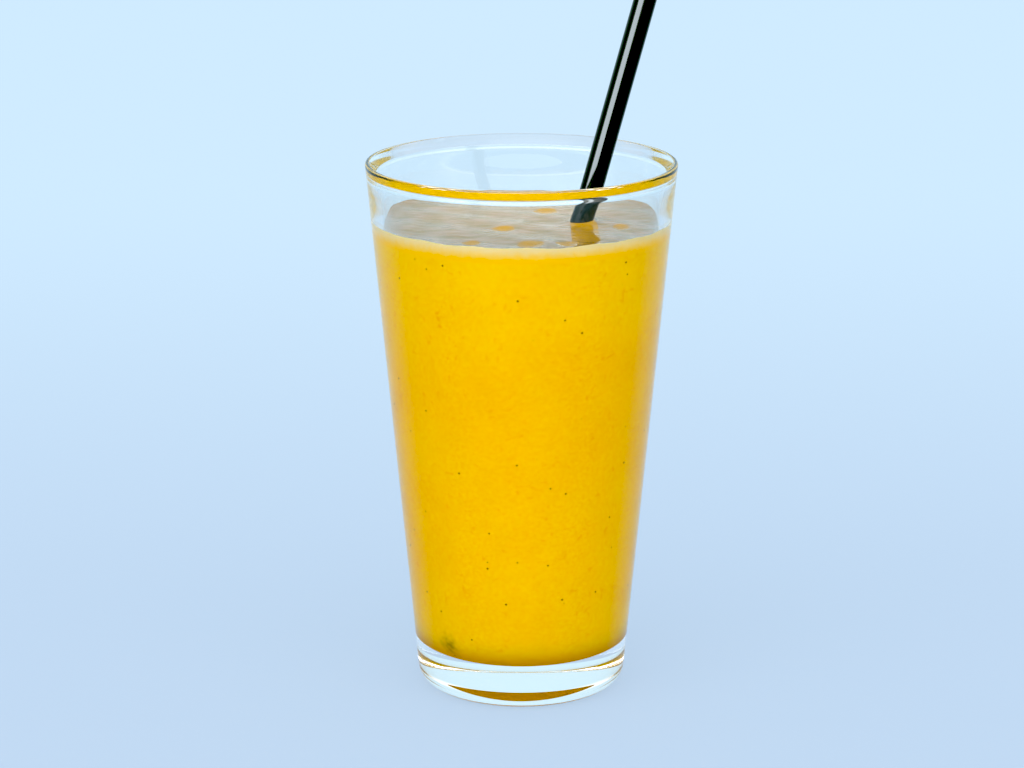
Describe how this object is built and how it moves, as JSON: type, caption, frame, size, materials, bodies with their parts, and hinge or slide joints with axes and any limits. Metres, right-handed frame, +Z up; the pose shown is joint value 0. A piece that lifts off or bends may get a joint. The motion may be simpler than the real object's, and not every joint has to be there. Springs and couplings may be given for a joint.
{
  "type": "mango smoothie in a glass",
  "caption": "Thick orange-yellow blended fruit drink with a thin froth, in a heavy-based clear conical tumbler, with a leaning black drinking straw.",
  "frame": {"origin": "centre of the flat underside of the glass, on the surface that the glass stands on", "axes": "+Z up along the glass's axis; -Y is the front, the side that the picture shows; the straw leans towards +X"},
  "size_m": [0.0878, 0.0878, 0.2216],
  "materials": {
    "clear_glass": "smooth clear pressed glass",
    "mango_drink": "opaque wet fruit pulp, finely speckled",
    "froth": "pale wet froth with fine bubbles",
    "straw_plastic": "smooth glossy black"
  },
  "bodies": {
    "root": {"glass": "clear_glass", "smoothie": "mango_drink", "froth": "froth", "straw": "straw_plastic"}
  },
  "joints": []
}
